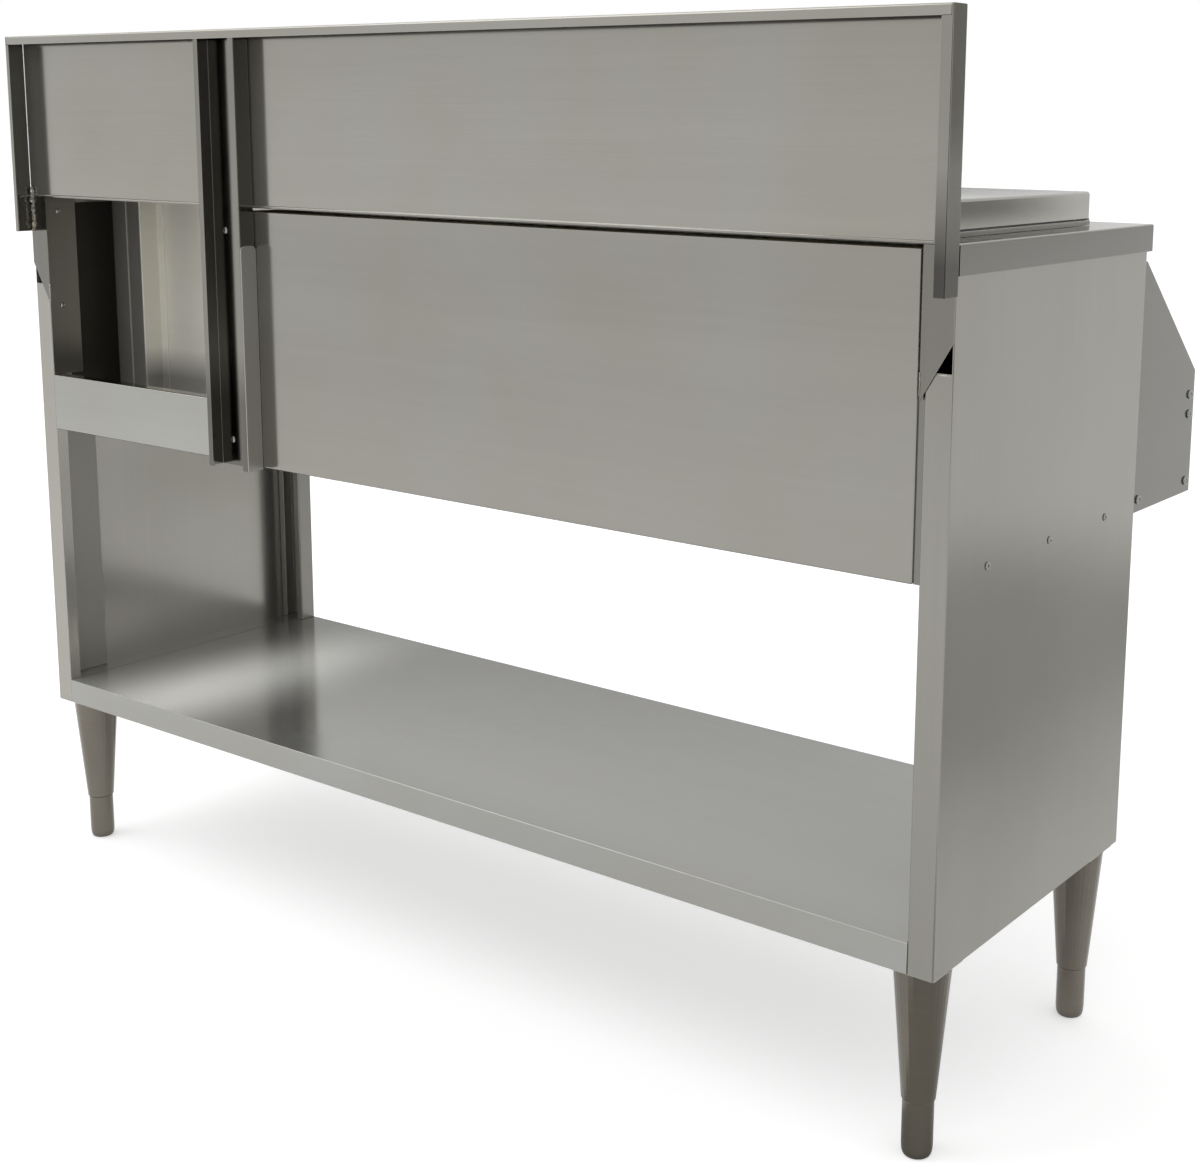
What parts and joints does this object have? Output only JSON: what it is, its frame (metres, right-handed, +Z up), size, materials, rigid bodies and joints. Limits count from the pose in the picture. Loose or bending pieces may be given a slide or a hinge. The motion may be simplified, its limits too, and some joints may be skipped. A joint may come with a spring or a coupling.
{
  "type": "cocktail station",
  "caption": "Free-standing stainless underbar cocktail station: insulated ice bin with sliding lids, bottle well, speed rail, backsplash and undershelf on adjustable bullet-foot legs.",
  "frame": {"origin": "on the floor, under the middle of the whole station's plan", "axes": "+Z up, +X to the right of someone who works at the station, +Y from the speed rail to the backsplash"},
  "size_m": [1.2192, 0.542, 0.972],
  "materials": {
    "brushed_steel": "satin",
    "light_steel": "satin",
    "leg_steel": "satin",
    "bright_steel": "polished",
    "insulation_foam": "matte",
    "black_nylon": "matte"
  },
  "bodies": {
    "cabinet": {"backsplash": "brushed_steel", "backsplash_end_left": "brushed_steel", "backsplash_end_right": "brushed_steel", "bay_rivet_1": "bright_steel", "bay_rivet_2": "bright_steel", "bay_side_angle": "brushed_steel", "bin_insulation": "insulation_foam", "bin_jacket": "brushed_steel", "bin_rim": "brushed_steel", "bottle_well": "brushed_steel", "channel_screw_1": "bright_steel", "channel_screw_2": "bright_steel", "deck": "brushed_steel", "drain_fitting": "bright_steel", "front_apron": "brushed_steel", "front_post_left": "light_steel", "front_post_right": "light_steel", "ice_bin_liner": "brushed_steel", "leg_front_left": "leg_steel", "leg_front_right": "leg_steel", "leg_rear_left": "leg_steel", "leg_rear_right": "leg_steel", "leg_plate_front_left": "brushed_steel", "leg_plate_front_right": "brushed_steel", "leg_plate_rear_left": "brushed_steel", "leg_plate_rear_right": "brushed_steel", "rail_bracket_left": "brushed_steel", "rail_bracket_right": "brushed_steel", "rail_screw_left_1": "bright_steel", "rail_screw_left_2": "bright_steel", "rail_screw_left_3": "bright_steel", "rail_screw_left_4": "bright_steel", "rail_screw_right_1": "bright_steel", "rail_screw_right_2": "bright_steel", "rail_screw_right_3": "bright_steel", "rail_screw_right_4": "bright_steel", "rear_channel_post": "brushed_steel", "rear_cross_rail": "light_steel", "rear_gusset_left": "brushed_steel", "rear_gusset_right": "brushed_steel", "shelf_stiffener": "light_steel", "side_panel_left": "brushed_steel", "side_panel_right": "brushed_steel", "side_screw_1": "bright_steel", "side_screw_2": "bright_steel", "side_screw_3": "bright_steel", "speed_rail_trough": "light_steel", "undershelf": "light_steel", "well_bracket": "brushed_steel"},
    "upper_lid": {"upper_lid": "brushed_steel", "upper_lid_glide": "black_nylon", "upper_lid_handle": "bright_steel"},
    "lower_lid": {"lower_lid": "brushed_steel", "lower_lid_glide": "black_nylon", "lower_lid_pull": "brushed_steel"},
    "strainer": {"drain_strainer": "bright_steel"},
    "foot_rear_left": {"leveling_foot_rear_left": "leg_steel"},
    "foot_rear_right": {"leveling_foot_rear_right": "leg_steel"},
    "foot_front_left": {"leveling_foot_front_left": "leg_steel"},
    "foot_front_right": {"leveling_foot_front_right": "leg_steel"}
  },
  "joints": [
    {"name": "upper_lid_slide", "type": "slide", "parent": "cabinet", "child": "upper_lid", "axis": [1, 0, 0], "range_m": [0, 0.36]},
    {"name": "lower_lid_slide", "type": "slide", "parent": "cabinet", "child": "lower_lid", "axis": [1, 0, 0], "range_m": [-0.36, 0]},
    {"name": "strainer_lift", "type": "slide", "parent": "cabinet", "child": "strainer", "axis": [0, 0, 1], "range_m": [0, 0.2]},
    {"name": "foot_rear_left_screw", "type": "slide", "parent": "cabinet", "child": "foot_rear_left", "axis": [0, 0, -1], "range_m": [0, 0.025]},
    {"name": "foot_rear_right_screw", "type": "slide", "parent": "cabinet", "child": "foot_rear_right", "axis": [0, 0, -1], "range_m": [0, 0.025]},
    {"name": "foot_front_left_screw", "type": "slide", "parent": "cabinet", "child": "foot_front_left", "axis": [0, 0, -1], "range_m": [0, 0.025]},
    {"name": "foot_front_right_screw", "type": "slide", "parent": "cabinet", "child": "foot_front_right", "axis": [0, 0, -1], "range_m": [0, 0.025]}
  ]
}
